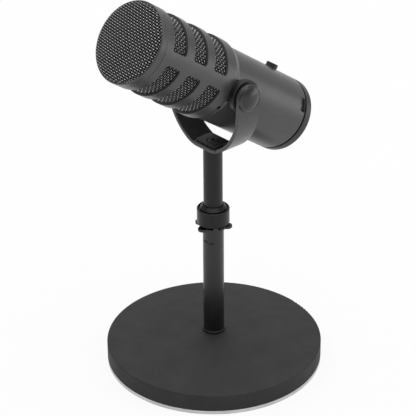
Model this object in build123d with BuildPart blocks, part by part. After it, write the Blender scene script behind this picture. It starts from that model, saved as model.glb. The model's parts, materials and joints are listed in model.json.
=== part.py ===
from build123d import *
import os
from math import cos, radians, sin, sqrt

# Desktop microphone: a broadcast microphone in a U-shaped yoke on a short telescopic column,
# standing on a heavy round base.
# Millimetres, +Z up. The origin is the centre of the base's underside, and the microphone looks
# towards -Y. Along the microphone, s is the distance in front of the tilt pivot.

os.makedirs("parts", exist_ok=True)

# ---------------------------------------------------------------- driving dimensions
# Base
base_r = 91.1
base_rim_z = 18.1
base_top_z = 25.9
base_edge = 1.2
base_land_r = 12.5
base_crown = 1.5
pad_r = 91.0
pad_t = 3.2
pocket_in_r = 27.0
pocket_out_r = 80.0
pocket_depth = 7.0
base_foot_chamfer = 0.4
bolt_hole_r = 4.3
bolt_recess_r = 12.0
bolt_recess_z = 11.0
socket_z = 14.0

# Column: a 5/8 inch tube that slides in a slightly larger one
lower_r = 8.75
lower_bore_r = 8.01
lower_top_z = 139.8
upper_r = 7.94
upper_bore_r = 7.14
upper_bottom_z = 82.0
upper_top_z = 199.6
foot_ring_r = 9.6
foot_ring_h = 2.2
crimp_z = 113.8
crimp_r = 0.9
crimp_depth = 0.9
crimp_l = 5.0

# Clutch that grips the upper tube
collar_r = 13.55
collar_bottom_z = 130.1
collar_rim_z = 143.6
collar_bevel = 0.55
collar_groove_z = 142.3
collar_groove_out_r = 12.6
collar_groove_in_r = 11.0
collar_shoulder_z = 143.9
collar_top_z = 146.8
collar_hole_r = 8.35
collar_lip_r = 8.8
clutch_r = 11.3
collet_bottom_z = 140.0
collet_top_z = 143.8
collet_r = 10.9
collet_nose_r = 9.4
collet_split = 1.6

# Cable clip below the clutch
clip_bottom_z = 126.0
clip_h = 2.2
clip_r = 11.8
clip_lobe_r = 4.0
clip_lobe_at = 11.9
clip_lobe_angles = (37.0, -89.0, -155.0)
clip_gap_angle = -26.0
clip_gap_half = 14.0

# Yoke: a strap bent into a U
yoke_under_z = 200.6
yoke_w = 22.6
strap_t = 3.2
arm_out_x = 42.9
flat_half = 12.5
bend_r = 49.1
bend_top_z = 246.0
bend_mid_angle = 37.0
bend_blend_r = 25.0
plate_l = 24.0
plate_w = 17.2
plate_t = 1.6
swivel_r = 3.0
swivel_head_r = 4.4
swivel_slot_l = 5.0
swivel_slot_w = 1.2
notch_x = 15.4
notch_w = 1.9
notch_depth = 2.6

# Microphone
pivot_z = 257.1
tilt = 35.1
body_r = 31.1
body_wall = 2.2
body_rear_s = -85.25
body_rear_round = 1.8
seam_s = 3.4
spigot_r = 29.9
spigot_bore_r = 28.0
spigot_end_s = 15.9
head_r = 33.6
head_wall = 2.2
shoulder_start_s = 4.4
shoulder_end_s = 12.9
head_front_s = 96.45
ring_front_s = 102.95
dome_edge_s = 101.85
dome_roll_r = 3.8
dome_slope = 15.3
mesh_t = 1.0
slot_len = 16.0
slot_pitch = 24.9
slot_first_s = 22.8
slot_rows = 3
slot_corner = 2.5
slot_top_half = 76.0
slot_bottom_half = 84.0

# Rear end
gasket_t = 0.9
gasket_r = 29.6
ring_rear_s = -93.2
ring_head_s = -86.25
ring_lip = 1.8
panel_r = 27.6
panel_face_s = -89.4
panel_screw_at = 25.4
panel_t = 2.0
panel_lip_r = 23.5
xlr_up = -8.0
xlr_r = 9.3
xlr_bore_r = 8.3
usb_x = -8.0
usb_up = 17.3
jack_x = 12.0
jack_up = 10.7
jack_bore_r = 1.8

# Switches
mute_s = -56.3
mute_r = 5.0
mute_top = 34.7
side_switch_s = -81.0
side_switch_phi = 62.5
side_window_w = 11.8
side_window_l = 5.6

# Pivot hardware
boss_r = 11.2
boss_out_x = 34.5
boss_spigot_r = 6.9
boss_in_x = 22.0
spacer_r = 13.8
spacer_in_x = 34.6
spacer_out_x = 39.4
pivot_r = 3.95
cap_in_x = 43.25
cap_out_x = 46.9
cap_r = 10.9

# Clearances
fit = 0.05
running = 0.08
gap = 0.3

# ---------------------------------------------------------------- frames and shared operations
pivot = Vector(0, 0, pivot_z)
side = Vector(1, 0, 0)
forward = Vector(0, -cos(radians(tilt)), sin(radians(tilt)))
upward = Vector(0, sin(radians(tilt)), cos(radians(tilt)))
mic_plane = Plane(origin=pivot, x_dir=side, z_dir=forward)
mic_axis = Axis(pivot, forward)
mic_section = Plane(origin=pivot, x_dir=side, z_dir=-upward)
across_pivot = Plane(origin=(-head_r - 5, 0, pivot_z), x_dir=(0, 1, 0), z_dir=(1, 0, 0))


def radial(phi):
    """Unit vector out of the microphone's axis, phi degrees from the top towards +X."""
    return side * sin(radians(phi)) + upward * cos(radians(phi))


def radial_plane(phi, s, r):
    """Plane facing out of the microphone at radius r, with its local y along the microphone."""
    across = upward * sin(radians(phi)) - side * cos(radians(phi))
    return Plane(origin=pivot + forward * s + radial(phi) * r, x_dir=across, z_dir=radial(phi))


def deck(height):
    """Plane above the microphone's axis, local x to +X and local y towards the rear."""
    return Plane(origin=pivot + upward * height, x_dir=side, z_dir=upward)


def turn(points, plane=Plane.XZ, axis=Axis.Z, mode=Mode.ADD):
    """Turn a closed outline of (radius, height) points inside the open part."""
    with BuildSketch(plane) as section:
        with BuildLine():
            Polyline(*points, close=True)
        make_face()
    revolve(section.sketch, axis=axis, mode=mode)


def turn_mic(points, mode=Mode.ADD):
    """Turn a closed outline of (radius, s) points about the microphone's axis."""
    turn(points, plane=mic_section, axis=mic_axis, mode=mode)


def tube(plane, r_out, r_in, length, mode=Mode.ADD):
    """Tube standing on a plane, inside the open part. An inner radius of 0 makes it solid."""
    with BuildSketch(plane) as ring:
        Circle(r_out)
        if r_in > 0:
            Circle(r_in, mode=Mode.SUBTRACT)
    extrude(ring.sketch, amount=length, mode=mode)


def block(plane, at, size, depth, mode=Mode.ADD):
    """Rectangular block standing on a plane, inside the open part."""
    with BuildSketch(plane) as outline:
        with Locations(at):
            Rectangle(*size)
    extrude(outline.sketch, amount=depth, mode=mode)


# ---------------------------------------------------------------- base
with BuildPart() as base_plate:
    with BuildSketch(Plane.XZ):
        with BuildLine():
            Polyline((lower_r + fit, socket_z), (lower_r + fit, base_top_z), (base_land_r, base_top_z))
            crown_mid = ((base_land_r + base_r) / 2, (base_top_z + base_rim_z) / 2 + base_crown)
            ThreePointArc((base_land_r, base_top_z), crown_mid, (base_r - base_edge, base_rim_z))
            ThreePointArc(
                (base_r - base_edge, base_rim_z),
                (base_r - base_edge * (1 - sqrt(0.5)), base_rim_z - base_edge * (1 - sqrt(0.5))),
                (base_r, base_rim_z - base_edge),
            )
            Polyline(
                (base_r, base_rim_z - base_edge),
                (base_r, pad_t + base_foot_chamfer),
                (base_r - base_foot_chamfer, pad_t),
                (pocket_out_r, pad_t),
                (pocket_out_r, pad_t + pocket_depth),
                (pocket_in_r, pad_t + pocket_depth),
                (pocket_in_r, pad_t),
                (bolt_recess_r, pad_t),
                (bolt_recess_r, bolt_recess_z),
                (bolt_hole_r, bolt_recess_z),
                (bolt_hole_r, socket_z),
                (lower_r + fit, socket_z),
            )
        make_face()
    revolve(axis=Axis.Z)
base_plate.part.label = "base_plate"
export_step(base_plate.part, "parts/base_plate.step")

with BuildPart() as base_pad:
    with BuildSketch(Plane.XY):
        Circle(pad_r)
    extrude(amount=pad_t)
    chamfer(base_pad.edges().group_by(Axis.Z)[0].sort_by(SortBy.RADIUS)[-1], 0.6)
base_pad.part.label = "base_pad"
export_step(base_pad.part, "parts/base_pad.step")

washer_t = 1.6
washer_r = 8.0
bolt_head_h = 5.3
bolt_head_flat = 6.5
bolt_r = 3.95
bolt_l = 18.0
with BuildPart() as base_washer:
    tube(Plane.XY.offset(bolt_recess_z - washer_t), washer_r, bolt_hole_r, washer_t - fit)
base_washer.part.label = "base_washer"
export_step(base_washer.part, "parts/base_washer.step")

with BuildPart() as base_bolt:
    with BuildSketch(Plane.XY.offset(bolt_recess_z - washer_t - bolt_head_h - fit)):
        RegularPolygon(radius=bolt_head_flat, side_count=6, major_radius=False)
    extrude(amount=bolt_head_h)
    tube(Plane.XY.offset(bolt_recess_z - washer_t - fit - 0.01), bolt_r, 0, bolt_l)
base_bolt.part.label = "base_bolt"
export_step(base_bolt.part, "parts/base_bolt.step")

with BuildPart() as tube_foot_plug:
    tube(Plane.XY.offset(socket_z + fit), lower_bore_r - fit, bolt_r + fit, 19.0)
    chamfer(tube_foot_plug.edges().group_by(Axis.Z)[-1].sort_by(SortBy.RADIUS)[-1], 0.8)
tube_foot_plug.part.label = "tube_foot_plug"
export_step(tube_foot_plug.part, "parts/tube_foot_plug.step")

with BuildPart() as tube_foot_ring:
    tube(Plane.XY.offset(base_top_z + fit), foot_ring_r, lower_r + fit, foot_ring_h)
    chamfer(tube_foot_ring.edges().group_by(Axis.Z)[-1].sort_by(SortBy.RADIUS)[-1], 0.5)
tube_foot_ring.part.label = "tube_foot_ring"
export_step(tube_foot_ring.part, "parts/tube_foot_ring.step")

# ---------------------------------------------------------------- column
with BuildPart() as lower_tube:
    tube(Plane.XY.offset(socket_z + fit), lower_r, lower_bore_r, lower_top_z - socket_z - fit)
    # two short crimp marks pressed right through the thin wall
    for angle, rise in ((-88, 0.5), (-52, -0.5)):
        out = Vector(cos(radians(angle)), sin(radians(angle)), 0)
        along = Vector(-out.Y, out.X, 0)
        centre = out * (lower_r - crimp_depth + crimp_r) + Vector(0, 0, crimp_z + rise)
        tube(Plane(origin=centre - along * (crimp_l / 2), z_dir=along), crimp_r, 0, crimp_l, Mode.SUBTRACT)
lower_tube.part.label = "lower_tube"
export_step(lower_tube.part, "parts/lower_tube.step")

with BuildPart() as clutch_body:
    clutch_foot_z = collar_bottom_z + gap
    tube(Plane.XY.offset(clutch_foot_z), clutch_r, lower_r + fit, lower_top_z - clutch_foot_z)
    chamfer(clutch_body.edges().group_by(Axis.Z)[-1].sort_by(SortBy.RADIUS)[-1], 0.5)
clutch_body.part.label = "clutch_body"
export_step(clutch_body.part, "parts/clutch_body.step")

with BuildPart() as clutch_collet:
    turn(
        (
            (lower_bore_r, collet_bottom_z),
            (collet_r, collet_bottom_z),
            (collet_r, collet_bottom_z + 1.0),
            (collet_nose_r, collet_top_z),
            (lower_bore_r, collet_top_z),
        )
    )
    # the split that lets the collet close on the tube
    split_h = collet_top_z - collet_bottom_z + 2
    block(Plane.XY.offset(collet_bottom_z - 1), (-10, 0), (20, collet_split), split_h, Mode.SUBTRACT)
clutch_collet.part.label = "clutch_collet"
export_step(clutch_collet.part, "parts/clutch_collet.step")

with BuildPart() as clutch_collar:
    turn(
        (
            (clutch_r + gap, collar_bottom_z),
            (collar_r - collar_bevel, collar_bottom_z),
            (collar_r, collar_bottom_z + collar_bevel),
            (collar_r, collar_rim_z - collar_bevel),
            (collar_r - collar_bevel, collar_rim_z),
            (collar_groove_out_r, collar_rim_z),
            (collar_groove_out_r, collar_groove_z),
            (collar_groove_in_r, collar_groove_z),
            (collar_groove_in_r, collar_shoulder_z),
            (collar_lip_r, collar_top_z),
            (collar_hole_r, collar_top_z),
            (collar_hole_r, collet_top_z + gap),
            (collet_nose_r + gap, collet_top_z + gap),
            (clutch_r + gap, collet_bottom_z + 1.0),
        )
    )
clutch_collar.part.label = "clutch_collar"
export_step(clutch_collar.part, "parts/clutch_collar.step")

with BuildPart() as cable_clip:
    with BuildSketch(Plane.XY.offset(clip_bottom_z)):
        Circle(clip_r)
        for angle in clip_lobe_angles:
            with Locations((clip_lobe_at * cos(radians(angle)), clip_lobe_at * sin(radians(angle)))):
                Circle(clip_lobe_r)
        Circle(lower_r + fit, mode=Mode.SUBTRACT)
        with BuildLine():
            reach = 3 * clip_r
            Polyline(
                (0, 0),
                (
                    reach * cos(radians(clip_gap_angle - clip_gap_half)),
                    reach * sin(radians(clip_gap_angle - clip_gap_half)),
                ),
                (
                    reach * cos(radians(clip_gap_angle + clip_gap_half)),
                    reach * sin(radians(clip_gap_angle + clip_gap_half)),
                ),
                close=True,
            )
        make_face(mode=Mode.SUBTRACT)
    extrude(amount=clip_h)
    fillet(cable_clip.edges().filter_by(Axis.Z), 0.7)
    chamfer(cable_clip.edges().group_by(Axis.Z)[0] + cable_clip.edges().group_by(Axis.Z)[-1], 0.3)
cable_clip.part.label = "cable_clip"
export_step(cable_clip.part, "parts/cable_clip.step")

with BuildPart() as upper_tube:
    tube(Plane.XY.offset(upper_bottom_z), upper_r, upper_bore_r, upper_top_z - upper_bottom_z)
upper_tube.part.label = "upper_tube"
export_step(upper_tube.part, "parts/upper_tube.step")

with BuildPart() as tube_end_cap:
    tube(Plane.XY.offset(upper_bottom_z - 1.5), upper_r - 0.1, 0, 1.5 - fit)
    tube(Plane.XY.offset(upper_bottom_z - fit - 0.01), upper_bore_r - fit, 0, 8.0)
    tube(Plane.XY.offset(upper_bottom_z - 2), 4.5, 0, 12.0, Mode.SUBTRACT)
tube_end_cap.part.label = "tube_end_cap"
export_step(tube_end_cap.part, "parts/tube_end_cap.step")

with BuildPart() as tube_top_plug:
    tube(Plane.XY.offset(upper_top_z - 20), upper_bore_r - fit, swivel_r + fit, 20)
tube_top_plug.part.label = "tube_top_plug"
export_step(tube_top_plug.part, "parts/tube_top_plug.step")

with BuildPart() as swivel_washer:
    tube(Plane.XY.offset(upper_top_z + fit), upper_r - 0.1, swivel_r + fit, 0.7)
swivel_washer.part.label = "swivel_washer"
export_step(swivel_washer.part, "parts/swivel_washer.step")

# The swivel screw stays with the column while the yoke turns around it.
swivel_head_z = yoke_under_z + strap_t + 0.2
with BuildPart() as swivel_screw:
    tube(Plane.XY.offset(swivel_head_z), swivel_head_r, 0, 1.7)
    chamfer(swivel_screw.edges().group_by(Axis.Z)[-1], 0.4)
    tube(Plane.XY.offset(upper_top_z - 14), swivel_r, 0, swivel_head_z - upper_top_z + 14.01)
    for size in ((swivel_slot_l, swivel_slot_w), (swivel_slot_w, swivel_slot_l)):
        block(Plane.XY.offset(swivel_head_z + 0.6), (0, 0), size, 2.0, Mode.SUBTRACT)
swivel_screw.part.label = "swivel_screw"
export_step(swivel_screw.part, "parts/swivel_screw.step")

# ---------------------------------------------------------------- yoke
arm_in_x = arm_out_x - strap_t
flat_top_z = yoke_under_z + strap_t
bend_centre_x = arm_out_x - bend_r
flat_half_in = bend_centre_x + sqrt((bend_r - strap_t) ** 2 - (bend_top_z - flat_top_z) ** 2)
bend_mid = (
    bend_centre_x + bend_r * cos(radians(bend_mid_angle)),
    bend_top_z - bend_r * sin(radians(bend_mid_angle)),
)
bend_mid_in = (
    bend_centre_x + (bend_r - strap_t) * cos(radians(bend_mid_angle)),
    bend_top_z - (bend_r - strap_t) * sin(radians(bend_mid_angle)),
)
with BuildPart() as yoke:
    with BuildSketch(Plane.XZ):
        with BuildLine():
            Line((0, yoke_under_z), (flat_half, yoke_under_z))
            ThreePointArc((flat_half, yoke_under_z), bend_mid, (arm_out_x, bend_top_z))
            Polyline(
                (arm_out_x, bend_top_z),
                (arm_out_x, pivot_z),
                (arm_in_x, pivot_z),
                (arm_in_x, bend_top_z),
            )
            ThreePointArc((arm_in_x, bend_top_z), bend_mid_in, (flat_half_in, flat_top_z))
            Polyline((flat_half_in, flat_top_z), (0, flat_top_z), (0, yoke_under_z))
        make_face()
        mirror(about=Plane.YZ)
    extrude(amount=yoke_w / 2, both=True)
    for x in (-arm_out_x, arm_in_x):
        tube(Plane(origin=(x, 0, pivot_z), x_dir=(0, 1, 0), z_dir=(1, 0, 0)), yoke_w / 2, 0, strap_t)
    with Locations(Plane(origin=(0, 0, pivot_z), x_dir=(0, 1, 0), z_dir=(1, 0, 0))):
        Hole(pivot_r + running)
    with Locations(Plane.XY.offset(flat_top_z)):
        Hole(swivel_r + running, depth=2 * strap_t)
    fillet(yoke.edges().filter_by(Axis.Y).group_by(Axis.Z)[0], bend_blend_r)
    faces_y = yoke.faces().filter_by(Axis.Y)
    chamfer(faces_y.edges(), 0.45)
    # a small notch in the front edge where the right arm starts to rise
    block(
        Plane.XY.offset(yoke_under_z - 1),
        (notch_x, (notch_depth - yoke_w) / 2),
        (notch_w, notch_depth),
        2 * strap_t + 1,
        Mode.SUBTRACT,
    )
yoke.part.label = "yoke"
export_step(yoke.part, "parts/yoke.step")

with BuildPart() as yoke_mount_plate:
    with BuildSketch(Plane.XY.offset(flat_top_z + fit)):
        RectangleRounded(plate_l, plate_w, 2.4)
        Circle(swivel_head_r + gap, mode=Mode.SUBTRACT)
    extrude(amount=plate_t)
    chamfer(yoke_mount_plate.edges().group_by(Axis.Z)[-1], 0.35)
yoke_mount_plate.part.label = "yoke_mount_plate"
export_step(yoke_mount_plate.part, "parts/yoke_mount_plate.step")

# ---------------------------------------------------------------- microphone head
head_bore_r = head_r - head_wall
cut_depth = 8.0


def slot_cutter(start_phi, arc):
    """Section of a ring between two angles, with its corners rounded, for one slot of the head."""
    start = Plane(origin=pivot, x_dir=radial(start_phi), z_dir=radial(start_phi).cross(forward))
    with BuildPart() as cutter:
        with BuildSketch(start):
            with Locations((head_r - 5 + cut_depth / 2, slot_first_s + slot_len / 2)):
                Rectangle(cut_depth, slot_len)
        revolve(axis=mic_axis, revolution_arc=arc)
        corners = cutter.edges().filter_by(GeomType.LINE).filter_by(lambda e: e.length < cut_depth + 1)
        fillet(corners, slot_corner)
    return cutter.part


slots = (
    slot_cutter(slot_top_half, 2 * slot_top_half),
    slot_cutter(180 + slot_bottom_half, 2 * slot_bottom_half),
)
grub_s = 10.9
grub_angles = (120.0, -120.0)
grub_hole_r = 1.8
grub_mouth_depth = 1.5

with BuildPart() as head_sleeve:
    with BuildSketch(mic_section):
        with BuildLine():
            shoulder_mid = ((body_r + head_r) / 2, (shoulder_start_s + shoulder_end_s) / 2)
            Line((body_r, seam_s), (body_r, shoulder_start_s))
            lower_bend = TangentArc((body_r, shoulder_start_s), shoulder_mid, tangent=(0, 1))
            TangentArc(shoulder_mid, (head_r, shoulder_end_s), tangent=lower_bend % 1)
            Polyline(
                (head_r, shoulder_end_s),
                (head_r, head_front_s - 0.35),
                (head_r - 0.35, head_front_s),
                (head_bore_r, head_front_s),
                (head_bore_r, spigot_end_s + 0.5),
                (spigot_r + 0.1, spigot_end_s + 0.5),
                (spigot_r + 0.1, seam_s),
                (body_r, seam_s),
            )
        make_face()
    revolve(axis=mic_axis)
    for row in range(slot_rows):
        for slot in slots:
            add(slot.moved(Location(forward * (row * slot_pitch))), mode=Mode.SUBTRACT)
    on_surface = head_sleeve.edges().filter_by(
        lambda e: (e.center() - pivot).dot(forward) > slot_first_s - 1
        and (e.center() - pivot).dot(forward) < head_front_s - 2
        and all((p - pivot - forward * (p - pivot).dot(forward)).length > head_r - 0.05
                for p in (e @ 0, e @ 0.5, e @ 1))
    )
    fillet(on_surface, 0.45)
    tube(across_pivot, boss_spigot_r + fit, 0, 2 * head_r + 10, Mode.SUBTRACT)
    for phi in grub_angles:
        tube(radial_plane(phi, grub_s, head_r - 6), grub_hole_r, 0, 8, Mode.SUBTRACT)
        with BuildSketch(radial_plane(phi, grub_s, head_r - grub_mouth_depth)) as mouth:
            Circle(grub_hole_r)
        extrude(mouth.sketch, amount=grub_mouth_depth + 0.3, taper=-40, mode=Mode.SUBTRACT)
head_sleeve.part.label = "head_sleeve"
export_step(head_sleeve.part, "parts/head_sleeve.step")

with BuildPart() as grub_screws:
    for phi in grub_angles:
        tube(radial_plane(phi, grub_s, spigot_r + 0.15), grub_hole_r - 0.1, 0, 1.3)
        with BuildSketch(radial_plane(phi, grub_s, spigot_r + 0.7)) as socket:
            RegularPolygon(radius=0.75, side_count=6)
        extrude(socket.sketch, amount=1.5, mode=Mode.SUBTRACT)
grub_screws.part.label = "grub_screws"
export_step(grub_screws.part, "parts/grub_screws.step")

front_ring_bore_r = head_r - 1.15
with BuildPart() as front_ring:
    turn_mic(
        (
            (front_ring_bore_r, head_front_s + fit),
            (head_r - 0.35, head_front_s + fit),
            (head_r, head_front_s + 0.4),
            (head_r, ring_front_s - 0.8),
            (head_r - 0.5, ring_front_s),
            (front_ring_bore_r, ring_front_s),
        )
    )
front_ring.part.label = "front_ring"
export_step(front_ring.part, "parts/front_ring.step")

dome_r = front_ring_bore_r - fit


def dome_points(inset):
    """Rim, end of the rolled edge and top of the mesh dome, for a surface set in by inset."""
    slope = radians(dome_slope)
    roll = dome_roll_r - inset
    rim = (dome_r - inset, dome_edge_s)
    roll_end = (dome_r - dome_roll_r + roll * sin(slope), dome_edge_s + roll * cos(slope))
    crown_r = roll_end[0] / sin(slope)
    return rim, roll_end, (0, roll_end[1] + crown_r * (1 - cos(slope)))


rim, roll_end, dome_top = dome_points(0)
rim_in, roll_end_in, dome_top_in = dome_points(mesh_t)
with BuildPart() as front_mesh:
    with BuildSketch(mic_section):
        with BuildLine():
            TangentArc(rim, roll_end, tangent=(0, 1))
            TangentArc(dome_top, roll_end, tangent=(1, 0))
            Line(dome_top, dome_top_in)
            TangentArc(dome_top_in, roll_end_in, tangent=(1, 0))
            TangentArc(rim_in, roll_end_in, tangent=(0, 1))
            Polyline(
                rim_in,
                (dome_r - mesh_t, head_front_s + fit),
                (dome_r, head_front_s + fit),
                rim,
            )
        make_face()
    revolve(axis=mic_axis)
front_mesh.part.label = "front_mesh"
export_step(front_mesh.part, "parts/front_mesh.step")

with BuildPart() as front_foam:
    tube(mic_plane.offset(head_front_s + 0.1), 30.6, 0, 6.4)
    fillet(front_foam.edges().sort_by(mic_axis)[-1], 2.5)
front_foam.part.label = "front_foam"
export_step(front_foam.part, "parts/front_foam.step")

side_mesh_t = 0.8
with BuildPart() as side_mesh:
    tube(mic_plane.offset(20.4), head_bore_r - fit, head_bore_r - fit - side_mesh_t, head_front_s - 20.5)
side_mesh.part.label = "side_mesh"
export_step(side_mesh.part, "parts/side_mesh.step")

foam_out_r = head_bore_r - side_mesh_t - 2 * fit
with BuildPart() as foam_liner:
    tube(mic_plane.offset(20.4), foam_out_r, 26.0, head_front_s - 20.5)
foam_liner.part.label = "foam_liner"
export_step(foam_liner.part, "parts/foam_liner.step")

# ---------------------------------------------------------------- capsule
capsule_r = 18.0
capsule_rear_s = 54.0
capsule_front_s = 86.0
cradle_r = 22.0
stem_r = 11.0

with BuildPart() as bulkhead:
    tube(mic_plane.offset(spigot_end_s + fit), spigot_r, 0, 3.2)
    tube(mic_plane.offset(spigot_end_s - 1), 4.0, 0, 6, Mode.SUBTRACT)
bulkhead.part.label = "bulkhead"
export_step(bulkhead.part, "parts/bulkhead.step")

with BuildPart() as capsule_cradle:
    turn_mic(
        (
            (stem_r - 2.5, spigot_end_s + 3.3),
            (17.0, spigot_end_s + 3.3),
            (17.0, spigot_end_s + 5.3),
            (stem_r, spigot_end_s + 5.3),
            (stem_r, 46.0),
            (cradle_r, 50.0),
            (cradle_r, 79.0),
            (cradle_r - 1.8, 79.0),
            (cradle_r - 1.8, 51.8),
            (stem_r - 2.5, 48.5),
        )
    )
capsule_cradle.part.label = "capsule_cradle"
export_step(capsule_cradle.part, "parts/capsule_cradle.step")

with BuildPart() as shock_rings:
    for s in (57.0, 74.0):
        tube(mic_plane.offset(s), cradle_r - 1.8 - fit, capsule_r + fit, 3.0)
shock_rings.part.label = "shock_rings"
export_step(shock_rings.part, "parts/shock_rings.step")

with BuildPart() as capsule_housing:
    turn_mic(
        (
            (0, capsule_rear_s),
            (capsule_r, capsule_rear_s),
            (capsule_r, capsule_front_s),
            (capsule_r - 1.2, capsule_front_s),
            (capsule_r - 1.2, capsule_rear_s + 1.5),
            (0, capsule_rear_s + 1.5),
        )
    )
capsule_housing.part.label = "capsule_housing"
export_step(capsule_housing.part, "parts/capsule_housing.step")

magnet_rear_s = 64.0
with BuildPart() as magnet_cup:
    turn_mic(
        (
            (0, magnet_rear_s - 3.0),
            (13.5, magnet_rear_s - 3.0),
            (13.5, magnet_rear_s + 14.0),
            (10.4, magnet_rear_s + 14.0),
            (10.4, magnet_rear_s - fit),
            (0, magnet_rear_s - fit),
        )
    )
magnet_cup.part.label = "magnet_cup"
export_step(magnet_cup.part, "parts/magnet_cup.step")

with BuildPart() as magnet:
    tube(mic_plane.offset(magnet_rear_s), 8.4, 0, 13.6)
    chamfer(magnet.edges().sort_by(mic_axis)[-1], 0.5)
magnet.part.label = "magnet"
export_step(magnet.part, "parts/magnet.step")

film_s = 83.5
film_t = 0.3
coil_r = 9.8
with BuildPart() as voice_coil:
    tube(mic_plane.offset(film_s - 13.5), coil_r, coil_r - 0.7, 13.4)
voice_coil.part.label = "voice_coil"
export_step(voice_coil.part, "parts/voice_coil.step")

with BuildPart() as diaphragm:
    with BuildSketch(mic_section):
        with BuildLine():
            TangentArc((0, film_s + 1.6), (coil_r, film_s + film_t), tangent=(1, 0))
            Polyline(
                (coil_r, film_s + film_t),
                (capsule_r - 1.5, film_s + film_t),
                (capsule_r - 1.5, film_s),
                (coil_r, film_s),
            )
            TangentArc((0, film_s + 1.6 - film_t), (coil_r, film_s), tangent=(1, 0))
            Line((0, film_s + 1.6 - film_t), (0, film_s + 1.6))
        make_face()
    revolve(axis=mic_axis)
diaphragm.part.label = "diaphragm"
export_step(diaphragm.part, "parts/diaphragm.step")

with BuildPart() as capsule_grille:
    tube(mic_plane.offset(capsule_front_s + fit), capsule_r, 0, 1.2)
    with BuildSketch(mic_plane.offset(capsule_front_s - 0.5)):
        with PolarLocations(11.5, 8):
            Circle(2.4)
        Circle(3.0)
    extrude(amount=3, mode=Mode.SUBTRACT)
capsule_grille.part.label = "capsule_grille"
export_step(capsule_grille.part, "parts/capsule_grille.step")

# ---------------------------------------------------------------- microphone body
body_bore_r = body_r - body_wall
with BuildPart() as body_shell:
    turn_mic(
        (
            (body_bore_r, body_rear_s),
            (body_r, body_rear_s),
            (body_r, seam_s - fit),
            (spigot_r, seam_s - fit),
            (spigot_r, spigot_end_s),
            (spigot_bore_r, spigot_end_s),
            (spigot_bore_r, seam_s - 6),
            (body_bore_r, seam_s - 8),
        )
    )
    fillet(body_shell.edges().sort_by(mic_axis)[0:2].sort_by(SortBy.RADIUS)[-1], body_rear_round)
    tube(radial_plane(0, mute_s, body_bore_r - 5), mute_r + gap, 0, 12, Mode.SUBTRACT)
    window = radial_plane(side_switch_phi, side_switch_s, body_bore_r - 4)
    block(window, (0, 0), (side_window_w, side_window_l), 9, Mode.SUBTRACT)
    tube(across_pivot, boss_spigot_r + fit, 0, 2 * head_r + 10, Mode.SUBTRACT)
body_shell.part.label = "body_shell"
export_step(body_shell.part, "parts/body_shell.step")

with BuildPart() as rear_gasket:
    tube(mic_plane.offset(ring_head_s + fit), gasket_r, body_bore_r, gasket_t)
rear_gasket.part.label = "rear_gasket"
export_step(rear_gasket.part, "parts/rear_gasket.step")

lip_rear_s = panel_face_s + panel_t + fit
with BuildPart() as rear_ring:
    turn_mic(
        (
            (panel_r + fit, ring_rear_s),
            (body_r - 1.2, ring_rear_s),
            (body_r - 0.35, ring_rear_s + 0.35),
            (body_r, ring_rear_s + 1.2),
            (body_r, ring_head_s - 0.2),
            (body_r - 0.2, ring_head_s),
            (body_bore_r - fit, ring_head_s),
            (body_bore_r - fit, ring_head_s + ring_lip),
            (body_bore_r - 1.8, ring_head_s + ring_lip),
            (panel_lip_r, ring_head_s),
            (panel_lip_r, lip_rear_s),
            (panel_r + fit, lip_rear_s),
        )
    )
    with BuildSketch(mic_plane.offset(lip_rear_s - 1)):
        with PolarLocations(panel_screw_at, 4, start_angle=45):
            Circle(1.25)
    extrude(amount=6, mode=Mode.SUBTRACT)
rear_ring.part.label = "rear_ring"
export_step(rear_ring.part, "parts/rear_ring.step")

with BuildPart() as rear_panel:
    with BuildSketch(mic_plane.offset(panel_face_s)):
        Circle(panel_r)
        with Locations((0, xlr_up)):
            Circle(xlr_r + fit, mode=Mode.SUBTRACT)
        with Locations((jack_x, jack_up)):
            Circle(3.1, mode=Mode.SUBTRACT)
        with Locations((usb_x, usb_up)):
            RectangleRounded(9.2, 3.5, 1.5, mode=Mode.SUBTRACT)
        with PolarLocations(panel_screw_at, 4, start_angle=45):
            Circle(1.35, mode=Mode.SUBTRACT)
    extrude(amount=panel_t)
rear_panel.part.label = "rear_panel"
export_step(rear_panel.part, "parts/rear_panel.step")

with BuildPart() as panel_screws:
    for angle in (45, 135, 225, 315):
        centre = (side * cos(radians(angle)) + upward * sin(radians(angle))) * panel_screw_at
        here = Plane(origin=pivot + forward * (panel_face_s - 1.25) + centre, x_dir=side, z_dir=forward)
        tube(here, 1.9, 0, 1.2)
        tube(here.offset(1.0), 1.2, 0, 3.6)
        for size in ((2.2, 0.6), (0.6, 2.2)):
            block(here.offset(-0.5), (0, 0), size, 1.1, Mode.SUBTRACT)
panel_screws.part.label = "panel_screws"
export_step(panel_screws.part, "parts/panel_screws.step")

# ---------------------------------------------------------------- connectors
xlr_centre = pivot + upward * xlr_up
xlr_depth = 15.0
xlr_mouth = Plane(origin=xlr_centre + forward * (panel_face_s - 0.6), x_dir=side, z_dir=forward)
with BuildPart() as xlr_shell:
    tube(xlr_mouth, xlr_r, xlr_bore_r, 24.0)
    tube(xlr_mouth.offset(-0.6), xlr_r + 1.1, xlr_bore_r, 0.6 - fit + 0.6)
xlr_shell.part.label = "xlr_shell"
export_step(xlr_shell.part, "parts/xlr_shell.step")

xlr_pin_at = ((-3.8, 0), (3.8, 0), (0, -3.8))
with BuildPart() as xlr_insert:
    with BuildSketch(xlr_mouth.offset(xlr_depth)):
        Circle(xlr_bore_r - fit)
        with Locations(*xlr_pin_at):
            Circle(1.2 + fit, mode=Mode.SUBTRACT)
    extrude(amount=8.5)
xlr_insert.part.label = "xlr_insert"
export_step(xlr_insert.part, "parts/xlr_insert.step")

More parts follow.
